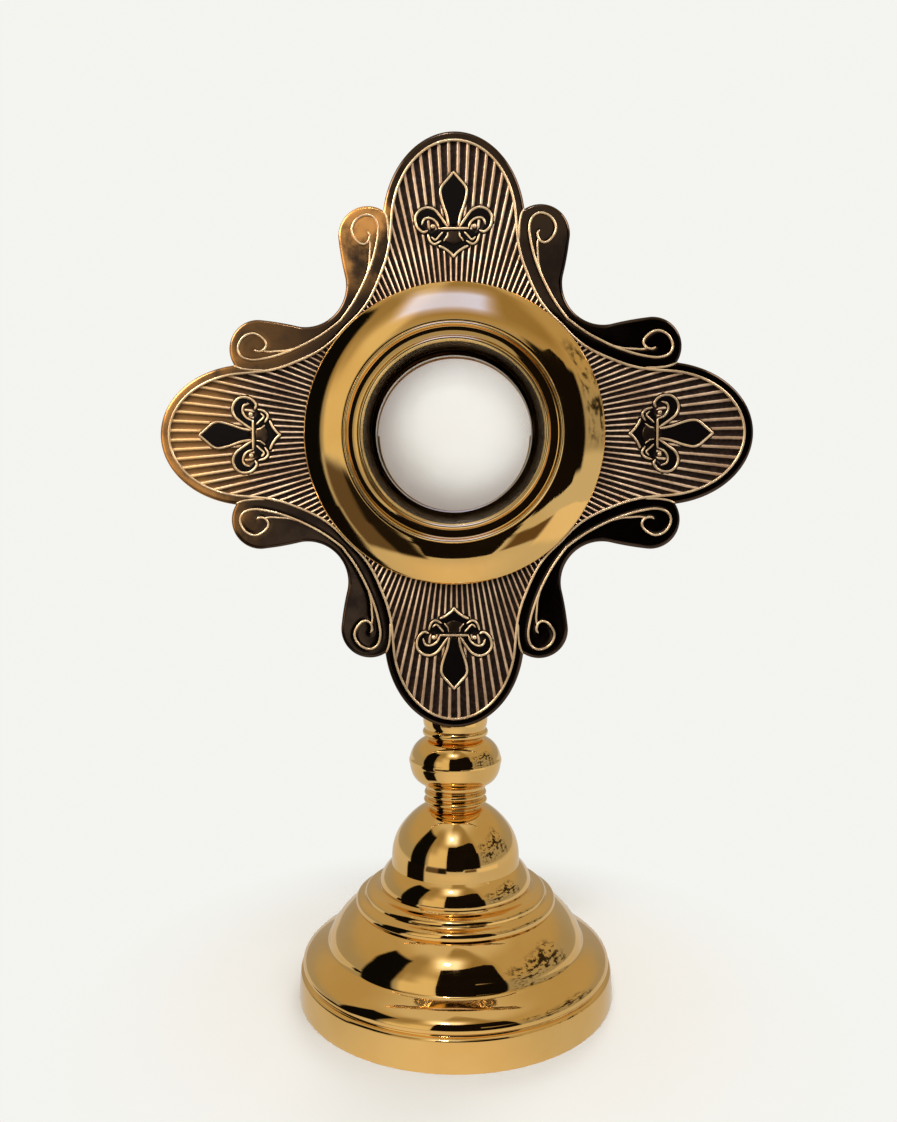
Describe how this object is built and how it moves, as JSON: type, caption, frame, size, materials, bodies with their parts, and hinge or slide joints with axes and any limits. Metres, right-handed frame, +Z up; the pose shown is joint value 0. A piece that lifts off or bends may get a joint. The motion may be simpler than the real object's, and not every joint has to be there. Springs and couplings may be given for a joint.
{
  "type": "monstrance",
  "caption": "Table monstrance: domed turned foot and knopped stem carry a four-lobed glory plate with a glazed round window and a lift-out hinged luna behind it.",
  "frame": {"origin": "centre of the foot's underside, on the stem's axis", "axes": "+Z up along the stem; -Y out of the front of the glory, towards the viewer; +X to the viewer's right"},
  "size_m": [0.264, 0.1468, 0.3922],
  "materials": {
    "polished_brass": "polished and lacquered gold-coloured brass, mirror-like",
    "antiqued_brass": "cast relief with brown-black patina in the recesses and rubbed gold on the raised lines",
    "plain_brass": "satin turned brass",
    "bare_steel": "plain steel",
    "clear_glass": "clear flat glass",
    "green_felt": "thin wool felt",
    "host_wafer": "matt off-white wafer, unmarked"
  },
  "bodies": {
    "stand": {"foot_shell": "polished_brass", "tier_shell": "polished_brass", "bell_shell": "polished_brass", "neck_rings": "polished_brass", "knop": "polished_brass", "stem_collar": "polished_brass", "bezel": "polished_brass", "glory_plate": "antiqued_brass", "glory_post": "plain_brass", "post_screw_1": "plain_brass", "post_screw_2": "plain_brass", "base_cover": "plain_brass", "glass_retainer": "plain_brass", "luna_track": "plain_brass", "track_screw_1": "plain_brass", "track_screw_2": "plain_brass", "track_screw_3": "plain_brass", "track_screw_4": "plain_brass", "tie_rod": "bare_steel", "ballast_plate": "bare_steel", "tie_washer": "bare_steel", "tie_nut": "bare_steel", "front_glass": "clear_glass", "felt_pad": "green_felt"},
    "luna": {"luna_ring": "plain_brass", "luna_glass": "clear_glass", "luna_retainer": "plain_brass", "host_disc": "host_wafer", "lunula_clip": "plain_brass", "lift_knob": "plain_brass", "hinge_pin": "bare_steel"},
    "luna_lid": {"lid_ring": "plain_brass", "lid_glass": "clear_glass", "lid_retainer": "plain_brass"}
  },
  "joints": [
    {"name": "luna_lift", "type": "slide", "parent": "stand", "child": "luna", "axis": [0, 0, 1], "range_m": [0, 0.18]},
    {"name": "lid_hinge", "type": "hinge", "parent": "luna", "child": "luna_lid", "pos_m": [0, 0.0032, 0.3048], "axis": [1, 0, 0], "range_deg": [0, 110]}
  ]
}
